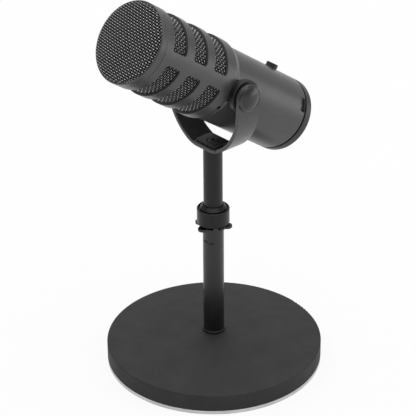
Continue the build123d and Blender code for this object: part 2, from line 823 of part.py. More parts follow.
with BuildPart() as xlr_pins:
    with BuildSketch(xlr_mouth.offset(2.2)):
        with Locations(*xlr_pin_at):
            Circle(1.2)
    extrude(amount=xlr_depth + 9.5)
    fillet(xlr_pins.edges().filter_by(GeomType.CIRCLE).group_by(mic_axis)[0], 0.8)
xlr_pins.part.label = "xlr_pins"
export_step(xlr_pins.part, "parts/xlr_pins.step")

board_up = 14.0
board_t = 1.6
board_rear = 75.0
board_front = 14.0
board_w = 46.0
board_mid = (board_rear + board_front) / 2
post_at = ((-18, 24), (18, 24), (-18, 68), (18, 68))
post_h = 4.6
screw_head_t = 1.8
with BuildPart() as main_board:
    with BuildSketch(deck(board_up)):
        with Locations((0, board_mid)):
            Rectangle(board_w, board_rear - board_front)
        with Locations(*post_at):
            Circle(1.6, mode=Mode.SUBTRACT)
    extrude(amount=board_t)
main_board.part.label = "main_board"
export_step(main_board.part, "parts/main_board.step")

with BuildPart() as board_posts:
    with BuildSketch(deck(board_up + board_t + fit)):
        with Locations(*post_at):
            Circle(2.6)
            Circle(1.25, mode=Mode.SUBTRACT)
    extrude(amount=post_h)
board_posts.part.label = "board_posts"
export_step(board_posts.part, "parts/board_posts.step")

with BuildPart() as board_screws:
    with BuildSketch(deck(board_up - screw_head_t - fit)):
        with Locations(*post_at):
            Circle(2.5)
    extrude(amount=screw_head_t)
    with BuildSketch(deck(board_up - 0.1)):
        with Locations(*post_at):
            Circle(1.2)
    extrude(amount=5.0)
board_screws.part.label = "board_screws"
export_step(board_screws.part, "parts/board_screws.step")

# place on the board, size and height of each chip
chips = (
    ((-6, 34), (9, 9), 1.4),
    ((8, 36), (6, 8), 1.6),
    ((2, 20), (4, 5), 1.2),
    ((-14, 48), (5, 6), 1.6),
    ((14, 52), (5, 5), 2.4),
    ((-12, 60), (4, 4), 1.2),
)
with BuildPart() as circuit_chips:
    for at, size, height in chips:
        block(deck(board_up + board_t + fit), at, size, height)
circuit_chips.part.label = "circuit_chips"
export_step(circuit_chips.part, "parts/circuit_chips.step")

tact_w = 8.0
tact_h = 6.2
with BuildPart() as tact_switch:
    block(deck(board_up + board_t + fit), (0, -mute_s), (tact_w, tact_w), tact_h)
    plunger = deck(board_up + board_t + tact_h)
    plunger.origin += forward * mute_s
    tube(plunger, 2.0, 0, 1.3)
tact_switch.part.label = "tact_switch"
export_step(tact_switch.part, "parts/tact_switch.step")

usb_depth = 14.5
usb_mouth = Plane(origin=pivot + forward * (panel_face_s + 0.1) + side * usb_x + upward * usb_up,
                  x_dir=side, z_dir=forward)
with BuildPart() as usb_port:
    with BuildSketch(usb_mouth):
        RectangleRounded(9.0, 3.3, 1.4)
        RectangleRounded(8.4, 2.6, 1.2, mode=Mode.SUBTRACT)
    extrude(amount=usb_depth)
    block(usb_mouth.offset(7.5), (0, 0), (8.6, 2.8), usb_depth - 7.5)
    block(usb_mouth.offset(1.0), (0, 0), (6.7, 0.7), 7.0)
usb_port.part.label = "usb_port"
export_step(usb_port.part, "parts/usb_port.step")

jack_mouth = Plane(origin=pivot + forward * (panel_face_s - 0.3) + side * jack_x + upward * jack_up,
                   x_dir=side, z_dir=forward)
with BuildPart() as headphone_jack:
    tube(jack_mouth, 3.0, 0, 4.0)
    block(jack_mouth.offset(2.5), (0, 0), (6.4, 6.4), 13.0)
    tube(jack_mouth.offset(-1), jack_bore_r, 0, 15.0, Mode.SUBTRACT)
headphone_jack.part.label = "headphone_jack"
export_step(headphone_jack.part, "parts/headphone_jack.step")

# ---------------------------------------------------------------- switches
with BuildPart() as mute_button:
    tube(radial_plane(0, mute_s, 25.0), mute_r + 0.9, 0, 1.5)
    tube(radial_plane(0, mute_s, 26.4), mute_r, 0, mute_top - 26.4)
    fillet(mute_button.edges().filter_by(GeomType.CIRCLE).sort_by(Axis(pivot, upward))[-1], 0.6)
mute_button.part.label = "mute_button"
export_step(mute_button.part, "parts/mute_button.step")

slider_at = 2.75
slider_w = 3.4
slider_l = 2.0
slider_travel = 1.6
with BuildPart() as side_switch_block:
    inner = radial_plane(side_switch_phi, side_switch_s, 23.0)
    block(inner, (0, 0), (13.5, 5.8), 4.3)
    block(inner.offset(4.2), (0, 0), (side_window_w - 0.3, side_window_l - 0.3), 2.3)
    track = (slider_w + 0.6, slider_l + slider_travel + 0.8)
    for offset_w in (-slider_at, slider_at):
        block(inner.offset(3.4), (offset_w, 0), track, 5, Mode.SUBTRACT)
side_switch_block.part.label = "side_switch_block"
export_step(side_switch_block.part, "parts/side_switch_block.step")

for name, offset_w in (("low_cut_slider", slider_at), ("presence_slider", -slider_at)):
    with BuildPart() as slider:
        base = radial_plane(side_switch_phi, side_switch_s, 26.7)
        block(base, (offset_w, slider_travel / 2), (slider_w, slider_l), 3.6)
        for ridge in (-0.6, 0.0, 0.6):
            groove_at = (offset_w, slider_travel / 2 + ridge)
            block(base.offset(3.35), groove_at, (slider_w + 1, 0.25), 1, Mode.SUBTRACT)
    slider.part.label = name
    export_step(slider.part, f"parts/{name}.step")

# ---------------------------------------------------------------- tilt pivot, one set on each side
def facing(direction, x):
    """Plane square to the pivot's axis at the distance x, facing outwards on one side."""
    return Plane(origin=(direction * x, 0, pivot_z), x_dir=(0, 1, 0), z_dir=(direction, 0, 0))


with BuildPart() as pivot_bosses:
    for direction in (1, -1):
        tube(facing(direction, 20.0), boss_r, 0, boss_out_x - 20.0)
    # the saddle follows the body and the start of the head's shoulder
    turn_mic(
        (
            (0, -30),
            (body_r + fit, -30),
            (body_r + fit, shoulder_start_s - 0.6),
            (head_r + gap, shoulder_end_s - 0.6),
            (head_r + gap, 30),
            (0, 30),
        ),
        mode=Mode.SUBTRACT,
    )
    for direction in (1, -1):
        tube(facing(direction, boss_in_x), boss_spigot_r, 0, boss_out_x - boss_in_x - 0.01)
        tube(facing(direction, 20.0), pivot_r + fit, 0, 20.0, Mode.SUBTRACT)
    round_edges = pivot_bosses.edges().filter_by(GeomType.CIRCLE)
    rims = round_edges.filter_by(lambda e: abs(e.radius - boss_r) < 0.01)
    chamfer(rims, 0.5)
pivot_bosses.part.label = "pivot_bosses"
export_step(pivot_bosses.part, "parts/pivot_bosses.step")

with BuildPart() as boss_nuts:
    for direction in (1, -1):
        tube(facing(direction, boss_in_x + 0.5), 9.2, boss_spigot_r + fit, 3.4)
boss_nuts.part.label = "boss_nuts"
export_step(boss_nuts.part, "parts/boss_nuts.step")

with BuildPart() as pivot_spacers:
    for direction in (1, -1):
        tube(facing(direction, spacer_in_x), spacer_r, pivot_r + fit, spacer_out_x - spacer_in_x)
    rims = pivot_spacers.edges().filter_by(GeomType.CIRCLE).filter_by(lambda e: e.radius > spacer_r - 0.01)
    fillet(rims, 0.6)
pivot_spacers.part.label = "pivot_spacers"
export_step(pivot_spacers.part, "parts/pivot_spacers.step")

with BuildPart() as pivot_screws:
    for direction in (1, -1):
        tube(facing(direction, 24.0), pivot_r, 0, cap_in_x - 24.0)
        tube(facing(direction, cap_in_x - 0.01), 7.5, 0, 2.0)
pivot_screws.part.label = "pivot_screws"
export_step(pivot_screws.part, "parts/pivot_screws.step")

with BuildPart() as pivot_caps:
    for direction in (1, -1):
        cap_section = Plane(origin=pivot, x_dir=(direction, 0, 0), z_dir=(0, -direction, 0))
        with BuildSketch(cap_section):
            with BuildLine():
                Polyline(
                    (cap_in_x + 2.05, 0),
                    (cap_in_x + 2.05, 7.6),
                    (cap_in_x, 7.6),
                    (cap_in_x, cap_r),
                    (cap_in_x + 0.5, cap_r),
                    (cap_in_x + 0.8, cap_r - 0.35),
                    (cap_in_x + 1.4, cap_r - 0.35),
                    (cap_in_x + 1.7, cap_r - 0.9),
                    (cap_in_x + 1.55, cap_r - 1.5),
                )
                TangentArc((cap_out_x, 0), (cap_in_x + 1.55, cap_r - 1.5), tangent=(0, 1))
                Line((cap_out_x, 0), (cap_in_x + 2.05, 0))
            make_face()
        revolve(axis=Axis(pivot, (direction, 0, 0)))
pivot_caps.part.label = "pivot_caps"
export_step(pivot_caps.part, "parts/pivot_caps.step")
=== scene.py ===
import json
import math

import bpy
import numpy as np
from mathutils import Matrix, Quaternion, Vector, noise


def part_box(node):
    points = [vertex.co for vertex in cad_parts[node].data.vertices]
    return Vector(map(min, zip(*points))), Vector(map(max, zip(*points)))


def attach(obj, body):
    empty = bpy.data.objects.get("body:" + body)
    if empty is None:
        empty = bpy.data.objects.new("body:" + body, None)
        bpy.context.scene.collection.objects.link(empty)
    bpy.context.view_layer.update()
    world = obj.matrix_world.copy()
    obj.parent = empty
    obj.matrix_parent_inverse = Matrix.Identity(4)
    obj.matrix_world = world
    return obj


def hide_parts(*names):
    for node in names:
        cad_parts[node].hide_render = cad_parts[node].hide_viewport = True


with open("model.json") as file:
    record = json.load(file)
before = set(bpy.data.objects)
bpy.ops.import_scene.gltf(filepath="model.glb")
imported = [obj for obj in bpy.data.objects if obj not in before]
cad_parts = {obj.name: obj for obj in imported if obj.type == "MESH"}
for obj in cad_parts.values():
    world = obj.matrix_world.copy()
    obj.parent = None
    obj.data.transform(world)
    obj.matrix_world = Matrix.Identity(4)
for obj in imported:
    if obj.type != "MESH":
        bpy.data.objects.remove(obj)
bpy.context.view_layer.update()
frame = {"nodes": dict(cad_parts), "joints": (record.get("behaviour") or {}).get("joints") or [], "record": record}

# Looks for the desktop microphone: woven wire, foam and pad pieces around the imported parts, a
# material for every slot of the record, a white studio and the camera. Metres, +Z up.

MM = 0.001

# ---------------------------------------------------------------- places taken from the frame
joints = {joint["name"]: joint for joint in frame["joints"]}
pivot = Vector(joints["mic_tilt"]["pos_m"])
side = Vector(joints["mic_tilt"]["axis"])
upward = -Vector(joints["mute_press"]["axis"])
forward = side.cross(upward)
mic_axes = np.array([side, upward, forward])


def reach(node):
    """Rear end, front end and greatest radius of a node, measured along the microphone's axis."""
    data = frame["nodes"][node].data
    points = np.empty(len(data.vertices) * 3)
    data.vertices.foreach_get("co", points)
    across, up, along = ((points.reshape(-1, 3) - np.array(pivot)) @ mic_axes.T).T
    return along.min(), along.max(), np.hypot(across, up).max()


def in_microphone(across, up, along):
    """Points of the whole object's frame from coordinates on the microphone's own axes."""
    return np.array(pivot) + np.stack([across, up, along], -1) @ mic_axes


def pivot_frame(local):
    """The same for rows of (across, up, along)."""
    return in_microphone(local[:, 0], local[:, 1], local[:, 2])


def unplaced(x, y, z):
    """The same coordinates as points, for pieces that are drawn in the object's frame already."""
    return np.stack([x, y, z], -1)


# ---------------------------------------------------------------- materials
class Look:
    """One procedural material, built around its Principled shader."""

    def __init__(self, name, colour, roughness, metallic=0.0, ior=1.5):
        self.material = bpy.data.materials.new(name)
        self.material.use_nodes = True
        self.tree = self.material.node_tree
        self.shader = self.tree.nodes["Principled BSDF"]
        self.place = self.add("ShaderNodeTexCoord").outputs["Object"]
        self.colour = (*colour, 1.0)
        self.roughness = roughness
        self.set("Metallic", metallic)
        self.set("IOR", ior)
        self.normal = None

    def add(self, kind, **inputs):
        """A node of that kind, with its inputs set to values or joined to other outputs."""
        node = self.tree.nodes.new(kind)
        for name, value in inputs.items():
            self.feed(node, name.replace("_", " "), value)
        return node

    def feed(self, node, name, value):
        """Sets an input to a value, or joins it to another node's output."""
        if isinstance(value, bpy.types.NodeSocket):
            self.tree.links.new(value, node.inputs[name])
        else:
            node.inputs[name].default_value = value

    def set(self, name, value):
        """Feeds one input of the Principled shader."""
        self.feed(self.shader, name, value)

    def noise(self, size, detail=2.0, stretch=None):
        """Noise from 0 to 1 whose grains are about size metres across."""
        place = self.place
        if stretch:
            place = self.add("ShaderNodeMapping", Vector=place, Scale=stretch).outputs["Vector"]
        return self.add("ShaderNodeTexNoise", Vector=place, Scale=0.6 / size, Detail=detail).outputs["Fac"]

    def cells(self, size):
        """Distance from the middle of cells about size metres across."""
        return self.add("ShaderNodeTexVoronoi", Vector=self.place, Scale=1.0 / size).outputs["Distance"]

    def ramp(self, value, from_low, from_high, to_low, to_high):
        """Value moved from one range to another, and held at its ends."""
        node = self.add("ShaderNodeMapRange", Value=value)
        names = ("From Min", "From Max", "To Min", "To Max")
        for name, number in zip(names, (from_low, from_high, to_low, to_high)):
            node.inputs[name].default_value = number
        return node.outputs["Result"]

    def blend(self, factor, first, second, kind="MIX"):
        """Second colour over the first, as strongly as factor says."""
        node = self.tree.nodes.new("ShaderNodeMix")
        node.data_type = "RGBA"
        node.blend_type = kind
        for name, value in (("Factor_Float", factor), ("A_Color", first), ("B_Color", second)):
            socket = next(s for s in node.inputs if s.identifier == name)
            if isinstance(value, bpy.types.NodeSocket):
                self.tree.links.new(value, socket)
            else:
                socket.default_value = value
        return next(s for s in node.outputs if s.identifier == "Result_Color")

    def bump(self, height, depth):
        """Adds relief of that depth in metres under what is there already."""
        inputs = {"Height": height, "Distance": depth}
        if self.normal is not None:
            inputs["Normal"] = self.normal
        self.normal = self.add("ShaderNodeBump", **inputs).outputs["Normal"]

    def combine(self, operation, first, second, kind="ShaderNodeMath"):
        """Result of one mathematical node with two inputs."""
        node = self.tree.nodes.new(kind)
        node.operation = operation
        self.tree.links.new(first, node.inputs[0])
        self.tree.links.new(second, node.inputs[1])
        return node.outputs["Value"]

    def tint(self, shade):
        """Multiplies the finished base colour by a shade."""
        base = self.shader.inputs["Base Color"].links[0].from_socket
        self.set("Base Color", self.blend(1.0, base, shade, "MULTIPLY"))

    def edge_wear_and_highlight(self, radius):
        """Mask that is 1 on sharp outer edges, broken up by noise; it marks edges lightened partly as wear and
        partly as painted highlight.
        """
        rounded = self.add("ShaderNodeBevel", Radius=radius)
        rounded.samples = 4
        plain = self.add("ShaderNodeNewGeometry").outputs["Normal"]
        match = self.combine("DOT_PRODUCT", rounded.outputs["Normal"], plain, "ShaderNodeVectorMath")
        edge = self.ramp(match, 1.0, 0.86, 0.0, 1.0)
        broken = self.ramp(self.noise(1.2 * MM, 4.0), 0.42, 0.68, 0.15, 1.0)
        return self.combine("MULTIPLY", edge, broken)

    def finish(self, mottle=0.12, mottle_size=9 * MM, sheen_change=0.05, wear_and_highlight=None):
        """Joins colour, roughness and normal to the shader. The edge entry is (edge colour, radius, strength), for
        edges lightened partly as wear and partly as painted highlight.
        """
        cloud = self.noise(mottle_size, 3.0)
        darker = tuple(c * (1 - mottle) for c in self.colour[:3]) + (1.0,)
        lighter = tuple(c * (1 + mottle) for c in self.colour[:3]) + (1.0,)
        colour = self.blend(self.ramp(cloud, 0.3, 0.7, 0.0, 1.0), darker, lighter)
        # Edges lightened: partly wear, partly painted highlight where they catch light.
        if wear_and_highlight:
            edge_colour, radius, strength = wear_and_highlight
            mask = self.ramp(self.edge_wear_and_highlight(radius), 0.0, 1.0, 0.0, strength)
            colour = self.blend(mask, colour, (*edge_colour, 1.0))
        self.set("Base Color", colour)
        patches = self.noise(mottle_size * 0.6, 2.0)
        low, high = self.roughness - sheen_change, self.roughness + sheen_change
        self.set("Roughness", self.ramp(patches, 0.3, 0.7, low, high))
        if self.normal is not None:
            self.set("Normal", self.normal)
        return self.material


def satin_paint(name, colour, roughness, ior=1.5, edge=(0.11, 0.11, 0.114), grain=0.010 * MM, wear_and_highlight=0.3):
    """Sprayed satin paint: faint orange peel, fine grit, edges painted a little lighter, partly as wear and partly
    as painted highlight.
    """
    look = Look(name, colour, roughness, ior=ior)
    look.bump(look.noise(2.6 * MM, 1.0), 0.012 * MM)
    look.bump(look.noise(0.45 * MM, 2.0), grain)
    return look.finish(mottle=0.07, sheen_change=0.025, wear_and_highlight=(edge, 0.30 * MM, wear_and_highlight))


def woven_wire(name, low_colour, glint_colour, roughness):
    """Dark painted wire with a painted highlight on the crests of the weave; the dips keep the dark colour, which
    also stands in for their shade.
    """
    look = Look(name, low_colour, roughness, ior=1.35)
    look.bump(look.noise(0.3 * MM, 2.0), 0.003 * MM)
    material = look.finish(mottle=0.10, mottle_size=3 * MM, sheen_change=0.04)
    # Painted highlight: the crest layer lightens the tops of the weave towards the light colour.
    crest_glint = look.add("ShaderNodeAttribute")
    crest_glint.attribute_name = "crest_glint"
    glint = look.ramp(crest_glint.outputs["Fac"], 0.55, 0.98, 0.0, 1.0)
    broken = look.ramp(look.noise(1.6 * MM, 3.0), 0.3, 0.7, 0.7, 1.0)
    base = look.shader.inputs["Base Color"].links[0].from_socket
    look.set("Base Color", look.blend(look.combine("MULTIPLY", glint, broken), base, (*glint_colour, 1.0)))
    return material


def powder_coat(name, colour, roughness):
    """Matte textured powder coat: pebbled grain, painted lighter on its high spots and darker in its low spots as
    painted highlight and shade, with edges lightened partly as wear and partly as painted highlight.
    """
    look = Look(name, colour, roughness)
    grain = look.noise(0.9 * MM, 3.0)
    look.bump(grain, 0.10 * MM)
    look.bump(look.noise(0.35 * MM, 2.0), 0.03 * MM)
    lighter = tuple(c * 1.5 for c in colour)
    material = look.finish(mottle=0.10, mottle_size=22 * MM, wear_and_highlight=(lighter, 0.8 * MM, 0.6))
    # Painted highlight and shade: the grain that gives the bump also lightens its high spots and darkens its low
    # spots.
    grain_light_and_shade = look.blend(look.ramp(grain, 0.35, 0.75, 0.0, 1.0), (0.75, 0.75, 0.75, 1), (1.3, 1.3, 1.3, 1))
    look.tint(grain_light_and_shade)
    return material


def moulded(name, colour, roughness, ior=1.46, grain=0.02 * MM, edge_gain=2.2):
    """Moulded plastic: fine spark texture, and edges painted lighter by the edge gain, partly as wear and partly
    as painted highlight.
    """
    look = Look(name, colour, roughness, ior=ior)
    look.bump(look.noise(0.4 * MM, 3.0), grain)
    edge = tuple(c * edge_gain + 0.01 for c in colour)
    return look.finish(mottle=0.10, mottle_size=5 * MM, wear_and_highlight=(edge, 0.3 * MM, 0.5))


def rubber(name, colour, roughness=0.85):
    """Soft rubber: chalky, with fine pores."""
    look = Look(name, colour, roughness)
    look.bump(look.noise(0.6 * MM, 4.0), 0.05 * MM)
    look.bump(look.cells(0.8 * MM), 0.03 * MM)
    return look.finish(mottle=0.10, mottle_size=14 * MM, sheen_change=0.06)


def open_foam(name, colour):
    """Open-cell foam: deep irregular pores, with painted shade that darkens the foam towards the cell borders."""
    look = Look(name, colour, 1.0)
    pores = look.cells(0.9 * MM)
    look.bump(pores, 0.35 * MM)
    look.bump(look.noise(0.5 * MM, 4.0), 0.15 * MM)
    material = look.finish(mottle=0.2, mottle_size=3 * MM, sheen_change=0.0)
    # Painted shade among the pores: the foam is darkened towards the cell borders and lightened in the cell
    # middles.
    pore_shade = look.blend(look.ramp(pores, 0.1, 0.6, 0.0, 1.0), (1.3, 1.3, 1.3, 1), (0.35, 0.35, 0.35, 1))
    look.tint(pore_shade)
    return material


def bare_metal(name, colour, roughness):
    """Turned or plated metal: fine tool lines, cloudy tarnish and bright edges."""
    look = Look(name, colour, roughness, metallic=1.0)
    look.bump(look.noise(0.25 * MM, 2.0, stretch=(1.0, 1.0, 0.06)), 0.006 * MM)
    bright = tuple(min(1.0, c * 1.25) for c in colour)
    return look.finish(mottle=0.10, mottle_size=4 * MM, sheen_change=0.08, wear_and_highlight=(bright, 0.2 * MM, 0.6))


def circuit_board(name):
    """Solder-masked board: a brick pattern of tracks in relief under the mask."""
    look = Look(name, (0.012, 0.045, 0.022), 0.35)
    tracks = look.add("ShaderNodeTexBrick", Vector=look.place, Scale=180.0)
    look.bump(tracks.outputs["Fac"], 0.02 * MM)
    return look.finish(mottle=0.2, mottle_size=3 * MM)


MIC_GREY = (0.049, 0.049, 0.0505)
YOKE_GREY = (0.044, 0.044, 0.047)
TUBE_BLACK = (0.0035, 0.0035, 0.0036)
CLUTCH_BLACK = (0.0035, 0.0035, 0.0035)
PLASTIC_BLACK = (0.010, 0.010, 0.0105)

tube_edge = (0.03, 0.03, 0.03)
tube_grain = 0.004 * MM
# Painted highlight: light edge colour for the yoke strap's edges, where they catch light.
yoke_edge_highlight = (0.20, 0.20, 0.20)

materials = {
    "base_paint": powder_coat("base_powder_coat", (0.0120, 0.0117, 0.0132), 0.66),
    "pad": rubber("pale_pad_rubber", (0.60, 0.60, 0.61)),
    "zinc_steel": bare_metal("zinc_plated_steel", (0.58, 0.58, 0.57), 0.35),
    "tube_paint": satin_paint("gloss_black_tube_paint", TUBE_BLACK, 0.40, 1.41, tube_edge, tube_grain),
    # Clutch and clip rims are painted far lighter than their plastic: painted highlight where the rims catch
    # light.
    "clutch_plastic": moulded("clutch_black_plastic", CLUTCH_BLACK, 0.28, 1.38, 0.006 * MM, 20.0),
    "clip_plastic": moulded("clip_gloss_plastic", (0.006, 0.006, 0.006), 0.15, 1.5, 0.004 * MM, 20.0),
    "nylon": moulded("natural_nylon", (0.35, 0.34, 0.30), 0.5),
    "black_steel": bare_metal("blackened_steel", (0.09, 0.09, 0.092), 0.34),
    # Strong painted highlight on the yoke's edges.
    "yoke_paint": satin_paint("yoke_satin_paint", YOKE_GREY, 0.27, edge=yoke_edge_highlight, wear_and_highlight=0.8),
    "plate_paint": satin_paint("plate_satin_paint", (0.014, 0.014, 0.0145), 0.36),
    "body_paint": satin_paint("microphone_satin_paint", MIC_GREY, 0.31, wear_and_highlight=0.0),
    # Its light colour is the painted highlight on the crests of the weave.
    "mesh_wire": woven_wire("painted_wire", (0.006, 0.006, 0.0061), (0.80, 0.80, 0.81), 0.35),
    "foam": open_foam("black_open_foam", (0.004, 0.004, 0.004)),
    "soft_rubber": rubber("black_soft_rubber", (0.012, 0.012, 0.012), 0.7),
    "capsule_metal": bare_metal("nickel_brass", (0.62, 0.58, 0.50), 0.28),
    "magnet_metal": bare_metal("magnet_nickel", (0.45, 0.45, 0.46), 0.4),
    "copper": bare_metal("enamelled_copper", (0.62, 0.24, 0.10), 0.3),
    "film": moulded("capsule_film", (0.55, 0.45, 0.25), 0.25),
    "panel_paint": satin_paint("rear_panel_paint", (0.020, 0.020, 0.021), 0.42),
    "connector_metal": bare_metal("satin_nickel", (0.55, 0.54, 0.52), 0.33),
    "pin_metal": bare_metal("gold_plate", (0.85, 0.60, 0.25), 0.22),
    "board": circuit_board("circuit_board"),
    "chip": moulded("chip_epoxy", (0.012, 0.012, 0.013), 0.6),
    "button_plastic": moulded("button_plastic", PLASTIC_BLACK, 0.3),
    "slider_plastic": moulded("slider_plastic", PLASTIC_BLACK, 0.4),
    "boss_metal": satin_paint("boss_satin_paint", (0.050, 0.050, 0.052), 0.28),
    "spacer_plastic": moulded("spacer_plastic", (0.004, 0.004, 0.004), 0.38),
    # Painted highlight on the cap's rim, through its large edge gain.
    "cap_plastic": moulded("cap_plastic", (0.018, 0.018, 0.0195), 0.20, 1.46, 0.008 * MM, 12.0),
}

# Nodes whose finish differs a little from the rest of their slot; the darker colours of the gasket and the grub
# screws are partly painted shade.
own_materials = {
    "rear_ring": satin_paint("rear_ring_paint", (0.026, 0.026, 0.027), 0.34, 1.42, wear_and_highlight=0.2),
    # Painted shade: the gasket is coloured darker than the other black rubber, standing in for the shade of the
    # groove it sits in.
    "rear_gasket": rubber("gasket_rubber_with_groove_shade", (0.0025, 0.0025, 0.0025), 0.9),
    # Part their own black oxide, part painted shade: the grub screws are coloured far darker than blackened steel,
    # so the holes they sit in read dark.
    "grub_screws": bare_metal("grub_screw_steel_with_hole_shade", (0.010, 0.010, 0.010), 0.55),
    "lower_tube": satin_paint("lower_tube_paint", TUBE_BLACK, 0.30, 1.55, tube_edge, tube_grain),
}

for row in frame["record"]["subparts"]:
    data = frame["nodes"][row["node"]].data
    data.materials.clear()
    data.materials.append(own_materials.get(row["node"], materials[row["material_slot"]]))


# ---------------------------------------------------------------- mesh building
def new_piece(name, points, faces, slot, *replaced, body="microphone"):
    """A smooth-shaded piece that stands for CAD nodes and rides on their body."""
    data = bpy.data.meshes.new(name)
    data.from_pydata(np.asarray(points).tolist(), [], faces)
    data.shade_smooth()
    data.materials.append(materials[slot])
    piece = bpy.data.objects.new(name, data)
    bpy.context.scene.collection.objects.link(piece)
    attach(piece, body)
    if replaced:
        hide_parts(*replaced)
    return piece


def wire(centres, normals, lift, side_glint, closed=False):
    """Points, faces and painted-highlight share of one thin wire along centres, on a surface with those normals.

    The side share is 1 where the painted highlight goes down the wire's sides too, and less where it stays on top.
    """
    count = len(centres)
    if closed:
        ahead = np.roll(centres, -1, 0) - np.roll(centres, 1, 0)
    else:
        ahead = np.gradient(centres, axis=0)
    ahead /= np.linalg.norm(ahead, axis=1)[:, None]
    across = np.cross(ahead, normals)
    across /= np.linalg.norm(across, axis=1)[:, None]
    out = np.cross(across, ahead)
    turn = 2 * math.pi * np.arange(wire_sides) / wire_sides
    rim = out[:, None] * np.cos(turn)[:, None] + across[:, None] * np.sin(turn)[:, None]
    points = (centres[:, None] + wire_r * rim).reshape(-1, 3)
    spans = count if closed else count - 1
    first = np.arange(spans)[:, None] * wire_sides
    second = (np.arange(spans)[:, None] + 1) % count * wire_sides
    here, beside = np.arange(wire_sides), (np.arange(wire_sides) + 1) % wire_sides
    quads = np.stack([first + here, first + beside, second + beside, second + here], -1).reshape(-1, 4)
    faces = quads.tolist()
    if not closed:
        faces.append(list(range(wire_sides - 1, -1, -1)))
        faces.append(list(range((count - 1) * wire_sides, count * wire_sides)))
    outward = side_glint + (1 - side_glint) * np.cos(turn)
    return points, faces, (lift[:, None] * outward).reshape(-1)


def weave_piece(name, wires, *replaced):
    """One piece from many wires; its layer for the painted highlight is 1 on top of a crest and 0 where a wire
    dips under.
    """
    points, faces, crest_glint, start = [], [], [], 0
    for wire_points, wire_faces, wire_glint in wires:
        points.append(wire_points)
        crest_glint.append(wire_glint)
        faces += [[corner + start for corner in face] for face in wire_faces]
        start += len(wire_points)
    piece = new_piece(name, np.concatenate(points), faces, "mesh_wire", *replaced)
    height = piece.data.attributes.new("crest_glint", "FLOAT", "POINT")
    height.data.foreach_set("value", np.concatenate(crest_glint) * 0.5 + 0.5)


# ---------------------------------------------------------------- woven wire
pitch = 1.94 * MM
wire_r = 0.29 * MM
wire_sides = 5
steps_per_pitch = 4
weave_turn = math.radians(-5.7)
crimp = 0.34 * MM
family_glint = (1.0, 0.42)  # how bright the painted highlight is on the crests of each family of wires
# How far the painted highlight runs down the sides of the wires, on the dome and on the bands.
front_side_glint = 0.93
band_side_glint = 0.45

dome_r = reach("front_mesh")[2]
roll_r = 3.8 * MM
dome_slope = math.radians(15.3)
dome_edge = reach("front_ring")[1] - 1.1 * MM
dome_tuck = 2.0 * MM


def dome_profile(arc):
    """Radius, place along the axis and outward normal arc metres down from the dome's top.

    The last value is the arc at which the dome's rolled edge ends.
    """
    inset = wire_r + crimp
    roll = roll_r - inset
    roll_centre_r = dome_r - roll_r
    crown_edge_r = roll_centre_r + roll * math.sin(dome_slope)
    crown_r = crown_edge_r / math.sin(dome_slope)
    crown_top = dome_edge + roll * math.cos(dome_slope) + crown_r * (1 - math.cos(dome_slope))
    crown_arc = crown_r * dome_slope
    roll_angle = math.pi / 2 - dome_slope
    roll_arc = roll * roll_angle
    angle = np.clip(arc / crown_r, 0, dome_slope) + np.clip((arc - crown_arc) / roll, 0, roll_angle)
    on_crown = arc <= crown_arc
    radius = np.where(on_crown, crown_r * np.sin(angle), roll_centre_r + roll * np.sin(angle))
    along = np.where(on_crown, crown_top - crown_r * (1 - np.cos(angle)), dome_edge + roll * np.cos(angle))
    along = along - np.clip(arc - crown_arc - roll_arc, 0, None)
    return radius, along, np.sin(angle), np.cos(angle), crown_arc + roll_arc


def dome_wires():
    """Plain weave over the dome: both families of wires, crossing over and under in turn."""
    reach_arc = dome_profile(np.zeros(1))[4] + dome_tuck
    lines = int(reach_arc / pitch)
    for family in (0, 1):
        for index in range(-lines, lines + 1):
            across = index * pitch
            half = math.sqrt(reach_arc**2 - across**2)
            count = max(4, int(2 * half / pitch * steps_per_pitch))
            along_wire = np.linspace(-half, half, count)
            sign = 1 if (index + family) % 2 == 0 else -1
            lift = sign * np.cos(math.pi * along_wire / pitch)
            beside = np.full(count, across)
            u, v = (along_wire, beside) if family == 0 else (beside, along_wire)
            arc = np.hypot(u, v)
            radius, along, tilt_out, tilt_front, _ = dome_profile(arc)
            angle = np.arctan2(v, u) + weave_turn
            normals = np.stack([tilt_out * np.cos(angle), tilt_out * np.sin(angle), tilt_front], -1)
            centres = np.stack([radius * np.cos(angle), radius * np.sin(angle), along], -1)
            centres = pivot_frame(centres + normals * crimp * lift[:, None])
            yield wire(centres, normals @ mic_axes, lift * family_glint[family], front_side_glint)


weave_piece("front_mesh_weave", dome_wires(), "front_mesh")

side_centre_r = reach("side_mesh")[2] - wire_r - crimp
wires_around = 2 * round(math.pi * side_centre_r / pitch)
slot_rows = 3
slot_first = reach("bulkhead")[0] + 6.85 * MM
slot_length = 16 * MM
slot_pitch = 24.9 * MM
slot_margin = 1.6 * MM


def band_wires(low, high):
    """Woven wire between two places along the axis: wires along it, and rings around it."""
    rings = int((high - low) / pitch)
    start = (low + high - rings * pitch) / 2
    turn_step = 2 * math.pi / wires_around
    for index in range(wires_around):
        angle = index * turn_step
        count = rings * steps_per_pitch + 1
        travel = np.linspace(0, rings * pitch, count)
        sign = 1 if index % 2 == 0 else -1
        lift = sign * np.cos(math.pi * travel / pitch)
        radius = side_centre_r + crimp * lift
        normals = np.tile([math.cos(angle), math.sin(angle), 0.0], (count, 1))
        centres = normals * radius[:, None]
        centres[:, 2] = start + travel
        yield wire(pivot_frame(centres), normals @ mic_axes, lift * family_glint[1], band_side_glint)
    for index in range(rings + 1):
        angle = np.arange(wires_around * steps_per_pitch) * turn_step / steps_per_pitch
        sign = -1 if index % 2 == 0 else 1
        lift = sign * np.cos(math.pi * angle / turn_step)
        radius = side_centre_r + crimp * lift
        normals = np.stack([np.cos(angle), np.sin(angle), np.zeros_like(angle)], -1)
        centres = normals * radius[:, None]
        centres[:, 2] = start + index * pitch
        yield wire(pivot_frame(centres), normals @ mic_axes, lift * family_glint[0], band_side_glint, closed=True)


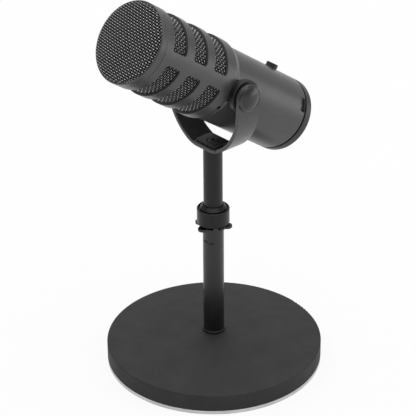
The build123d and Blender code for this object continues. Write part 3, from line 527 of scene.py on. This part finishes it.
for row_index in range(slot_rows):
    low = slot_first + row_index * slot_pitch - slot_margin
    high = low + slot_length + 2 * slot_margin
    stands_for = ["side_mesh"] if row_index == 0 else []
    weave_piece(f"side_mesh_weave_{row_index + 1}", band_wires(low, high), *stands_for)


# ---------------------------------------------------------------- foam and pad
soft_edge_points = 5
foam_eye = 0.6 * MM
foam_bevel = 0.6 * MM
foam_round = 2.5 * MM
foam_step = 1.0 * MM
foam_facets = 120
liner_in_r = 26.0 * MM
liner_step = 0.9 * MM
liner_facets = 180
pore_size = 1.3 * MM
foam_pore_depth = 0.35 * MM
liner_pore_depth = 0.30 * MM
pad_round = 0.5 * MM
pad_step = 6 * MM
pad_first = 12 * MM
pad_tuck = 2 * MM
pad_facets = 256


def turned(profile, around, place):
    """Points and faces of a closed (radius, along) outline turned about an axis."""
    count = len(profile)
    angles = 2 * math.pi * np.arange(around) / around
    radius, along = np.array(profile).T
    points = place(
        np.outer(np.cos(angles), radius).ravel(),
        np.outer(np.sin(angles), radius).ravel(),
        np.tile(along, around),
    )
    faces = []
    for column in range(around):
        here, beside = column * count, (column + 1) % around * count
        for row in range(count):
            ahead = (row + 1) % count
            faces.append([here + row, beside + row, beside + ahead, here + ahead])
    return points, faces


def stretch(start, end, spacing):
    """Evenly spaced outline points from start up to, but not including, end."""
    length = math.dist(start, end)
    count = max(1, round(length / spacing))
    return [tuple(np.array(start) + (np.array(end) - np.array(start)) * i / count) for i in range(count)]


def soft_edge(centre, radius, start_deg, end_deg):
    """Outline points of a rounded corner between two directions."""
    angles = np.radians(np.linspace(start_deg, end_deg, soft_edge_points))
    return [(centre[0] + radius * math.cos(a), centre[1] + radius * math.sin(a)) for a in angles]


def roughen(piece, size, depth):
    """Moves each point inwards by up to depth, in an uneven surface with grains of that size."""
    data = piece.data
    normals = [vertex.normal.copy() for vertex in data.vertices]
    for vertex, normal in zip(data.vertices, normals):
        vertex.co -= normal * depth * (0.5 + 0.5 * noise.noise(vertex.co / size))
    data.update()


foam_rear, foam_front, foam_r = reach("front_foam")
foam_outline = (
    [(foam_eye, foam_rear), (foam_r - foam_bevel, foam_rear)]
    + stretch((foam_r, foam_rear + foam_bevel), (foam_r, foam_front - foam_round), foam_step)
    + soft_edge((foam_r - foam_round, foam_front - foam_round), foam_round, 0, 90)
    + stretch((foam_r - foam_round - foam_step, foam_front), (foam_eye, foam_front), foam_step)
    + [(foam_eye, foam_front)]
)
front_shape = turned(foam_outline, foam_facets, in_microphone)
front_pad = new_piece("front_foam_disc", *front_shape, "foam", "front_foam")
roughen(front_pad, pore_size, foam_pore_depth)

liner_rear, liner_front, liner_r = reach("foam_liner")
liner_outline = (
    stretch((liner_r, liner_rear), (liner_r, liner_front), liner_step)
    + [(liner_r, liner_front), (liner_in_r, liner_front), (liner_in_r, liner_rear)]
)
liner_shape = turned(liner_outline, liner_facets, in_microphone)
liner = new_piece("foam_liner_sleeve", *liner_shape, "foam", "foam_liner")
roughen(liner, pore_size, liner_pore_depth)

pad_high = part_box("base_pad")[1]
pad_r = pad_high.x
pad_outline = (
    [(foam_eye, 0.0)]
    + stretch((pad_first, 0.0), (pad_r - pad_round, 0.0), pad_step)
    + soft_edge((pad_r - pad_round, pad_round), pad_round, -90, 0)
    + [(pad_r, pad_high.z), (pad_r - pad_tuck, pad_high.z), (foam_eye, pad_high.z)]
)
pad = new_piece("base_pad_sheet", *turned(pad_outline, pad_facets, unplaced), "pad", "base_pad", body="stand")

# ---------------------------------------------------------------- studio
stage_r = 12.0
stage_corners = 64
floor_glow_share = 0.88
world_strength = 0.50

stage_angles = np.linspace(0, 2 * math.pi, stage_corners)[:-1]
floor_points = [(stage_r * math.cos(a), stage_r * math.sin(a), 0.0) for a in stage_angles]
floor_data = bpy.data.meshes.new("floor")
floor_data.from_pydata(floor_points, [], [list(range(len(floor_points)))])
floor_look = Look("white_floor", (0.78, 0.78, 0.78), 0.75)
floor_data.materials.append(floor_look.finish(mottle=0.01, mottle_size=60 * MM))
floor_glow = floor_look.add("ShaderNodeEmission", Strength=1.0)
straight = floor_look.add("ShaderNodeLightPath").outputs["Is Camera Ray"]
seen = floor_look.ramp(straight, 0.0, 1.0, 0.0, floor_glow_share)
floor_mix = floor_look.add("ShaderNodeMixShader", Fac=seen)
floor_output = floor_look.tree.nodes["Material Output"]
floor_look.tree.links.new(floor_look.shader.outputs["BSDF"], floor_mix.inputs[1])
floor_look.tree.links.new(floor_glow.outputs["Emission"], floor_mix.inputs[2])
floor_look.tree.links.new(floor_mix.outputs["Shader"], floor_output.inputs["Surface"])
floor = bpy.data.objects.new("floor", floor_data)
bpy.context.scene.collection.objects.link(floor)

world = bpy.data.worlds.new("studio")
bpy.context.scene.world = world
world.use_nodes = True
backdrop = world.node_tree.nodes["Background"]
backdrop.inputs["Color"].default_value = (1.0, 1.0, 1.0, 1.0)
backdrop.inputs["Strength"].default_value = world_strength


def facing_from(azimuth, elevation):
    """Unit vector from the object towards azimuth (0 is -Y, 90 is +X) and elevation, in degrees."""
    a, e = math.radians(azimuth), math.radians(elevation)
    return Vector((math.sin(a) * math.cos(e), -math.cos(a) * math.cos(e), math.sin(e)))


def soft_sun(name, strength, spread, azimuth, elevation):
    """Light from one side of the sky, spread degrees wide."""
    data = bpy.data.lights.new(name, "SUN")
    data.energy = strength
    data.angle = math.radians(spread)
    lamp = bpy.data.objects.new(name, data)
    lamp.rotation_mode = "QUATERNION"
    lamp.rotation_quaternion = facing_from(azimuth, elevation).to_track_quat("Z", "Y")
    bpy.context.scene.collection.objects.link(lamp)


def soft_box(name, power, size, azimuth, distance, height):
    """Rectangular light standing at a distance, facing the microphone."""
    data = bpy.data.lights.new(name, "AREA")
    data.shape = "RECTANGLE"
    data.size, data.size_y = size
    data.energy = power
    lamp = bpy.data.objects.new(name, data)
    out = facing_from(azimuth, 0.0)
    lamp.location = out * distance + Vector((0, 0, height))
    lamp.rotation_mode = "QUATERNION"
    lamp.rotation_quaternion = out.to_track_quat("Z", "Y")
    bpy.context.scene.collection.objects.link(lamp)


soft_sun("overhead_dome", 2.2, 100.0, 0.0, 90.0)
soft_box("right_card", 1.15, (0.9, 0.32), 146.0, 1.15, 0.17)

bpy.context.scene.view_settings.view_transform = "Standard"

# ---------------------------------------------------------------- camera
camera_azimuth = 48.60
camera_elevation = 28.58
camera_roll = -0.008
camera_distance = 1.6
camera_target = Vector((-2.82, -3.20, 142.70)) * MM
camera_lens = 168.18

camera_data = bpy.data.cameras.new("camera")
camera_data.lens = camera_lens
camera_data.sensor_width = 36.0
camera_data.clip_start = 0.05
camera_data.clip_end = 100.0
camera = bpy.data.objects.new("camera", camera_data)
back = facing_from(camera_azimuth, camera_elevation)
camera.location = camera_target + back * camera_distance
camera.rotation_mode = "QUATERNION"
camera.rotation_quaternion = (-back).to_track_quat("-Z", "Y") @ Quaternion((0, 0, 1), camera_roll)
bpy.context.scene.collection.objects.link(camera)
bpy.context.scene.camera = camera
